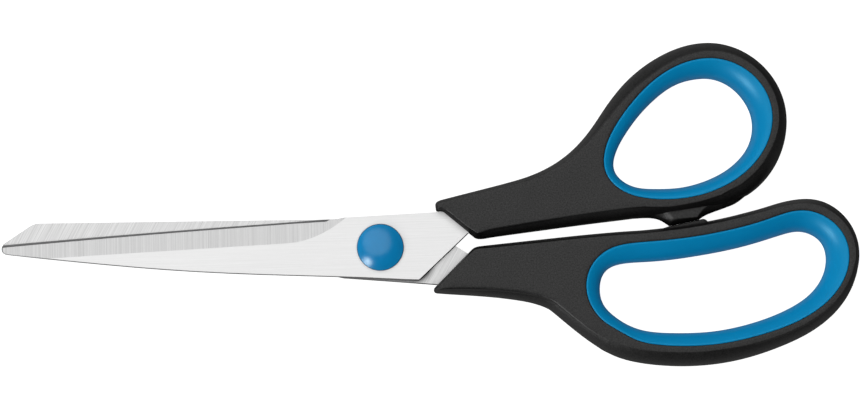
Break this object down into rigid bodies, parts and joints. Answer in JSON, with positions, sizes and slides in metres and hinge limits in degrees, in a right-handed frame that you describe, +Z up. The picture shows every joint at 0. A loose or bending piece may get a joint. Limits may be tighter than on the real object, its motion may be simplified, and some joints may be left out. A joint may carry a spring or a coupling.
{
  "type": "office scissors",
  "caption": "Left-handed office scissors with pivoting steel blades, hard plastic bows lined with soft rubber, and a domed pivot cap.",
  "frame": {"origin": "middle of the footprint of the closed scissors, on the plane that the handles' backs lie on", "axes": "+X from the tips towards the handles, +Y from the finger bow towards the thumb bow, +Z up, from the back blade towards the pivot cap"},
  "size_m": [0.2103, 0.0793, 0.01],
  "materials": {
    "blade_steel": "satin stainless steel, brushed along the flats and ground across the bevel",
    "handle_plastic": "black moulded ABS, fine satin texture",
    "grip_rubber": "blue soft-touch thermoplastic rubber, satin",
    "cap_plastic": "blue moulded plastic, glossy",
    "pivot_steel": "bright zinc-plated steel"
  },
  "bodies": {
    "finger_half": {"back_blade": "blade_steel", "finger_handle": "handle_plastic", "finger_grip": "grip_rubber"},
    "thumb_half": {"front_blade": "blade_steel", "thumb_handle": "handle_plastic", "thumb_grip": "grip_rubber", "pivot_screw": "pivot_steel", "pivot_cap": "cap_plastic", "tension_washer": "pivot_steel", "pivot_nut": "pivot_steel"}
  },
  "joints": [
    {"name": "blade_pivot", "type": "hinge", "parent": "finger_half", "child": "thumb_half", "pos_m": [-0.0123, -0.0104, 0.005], "axis": [0, 0, 1], "range_deg": [0, 110]}
  ]
}
